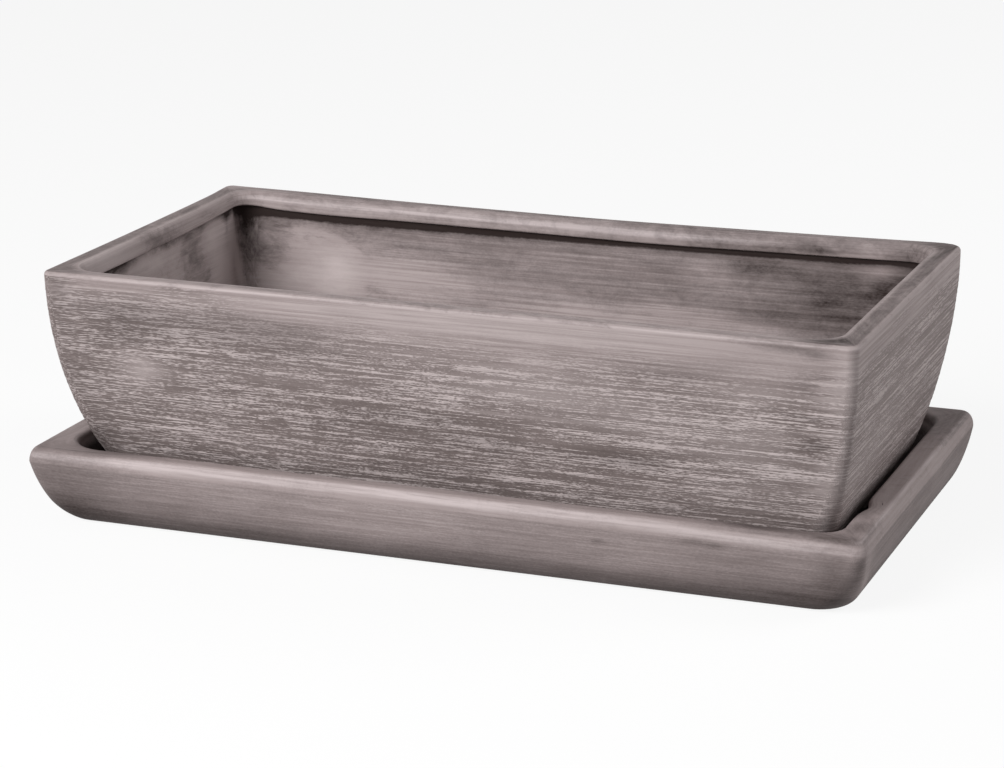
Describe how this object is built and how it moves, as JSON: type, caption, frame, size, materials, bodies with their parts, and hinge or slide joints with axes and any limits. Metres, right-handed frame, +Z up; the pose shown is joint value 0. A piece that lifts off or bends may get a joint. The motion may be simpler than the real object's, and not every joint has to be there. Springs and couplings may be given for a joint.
{
  "type": "ceramic window box",
  "caption": "Rectangular ceramic planter with flared walls and a rolled rim, standing loose in a matching thick-rimmed saucer that catches drained water.",
  "frame": {"origin": "on the ground, below the middle of the saucer", "axes": "+X along the length, +Y to the back, +Z up; the pictured long side faces -Y"},
  "size_m": [0.4158, 0.228, 0.1252],
  "materials": {
    "box_ceramic": "matt, brushed with pale dashes over darker taupe",
    "saucer_ceramic": "matt, faint long brush streaks",
    "rubber": "matt"
  },
  "bodies": {
    "saucer": {"saucer": "saucer_ceramic", "rubber_foot_front_left": "rubber", "rubber_foot_front_right": "rubber", "rubber_foot_back_left": "rubber", "rubber_foot_back_right": "rubber"},
    "window_box": {"window_box": "box_ceramic"}
  },
  "joints": [
    {"name": "box_lift", "type": "slide", "parent": "saucer", "child": "window_box", "axis": [0, 0, 1], "range_m": [0, 0.08]}
  ]
}
